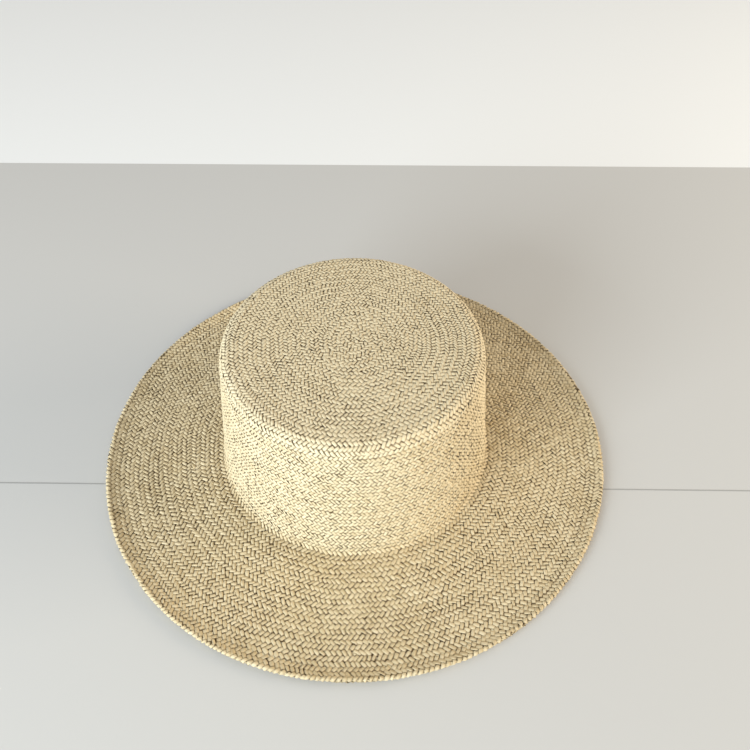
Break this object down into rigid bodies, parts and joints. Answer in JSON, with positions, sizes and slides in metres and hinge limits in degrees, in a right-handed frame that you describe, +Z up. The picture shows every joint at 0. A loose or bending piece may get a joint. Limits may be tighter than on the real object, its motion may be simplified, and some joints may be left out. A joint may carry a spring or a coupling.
{
  "type": "straw hat",
  "caption": "Woven straw hat with a flat-topped, slightly tapered crown, a wide flat brim and a doubled, lifted hem.",
  "frame": {"origin": "centre of the surface that the hat rests on, under the middle of the crown", "axes": "+Z up through the tip, +Y along the longer front to back line of the oval, X across the hat"},
  "size_m": [0.3506, 0.3582, 0.1019],
  "materials": {
    "straw": "matt natural straw, woven two over two on the bias",
    "hem_straw": "matt natural straw, folded double"
  },
  "bodies": {
    "root": {"crown": "straw", "brim": "straw", "brim_hem": "hem_straw"}
  },
  "joints": []
}
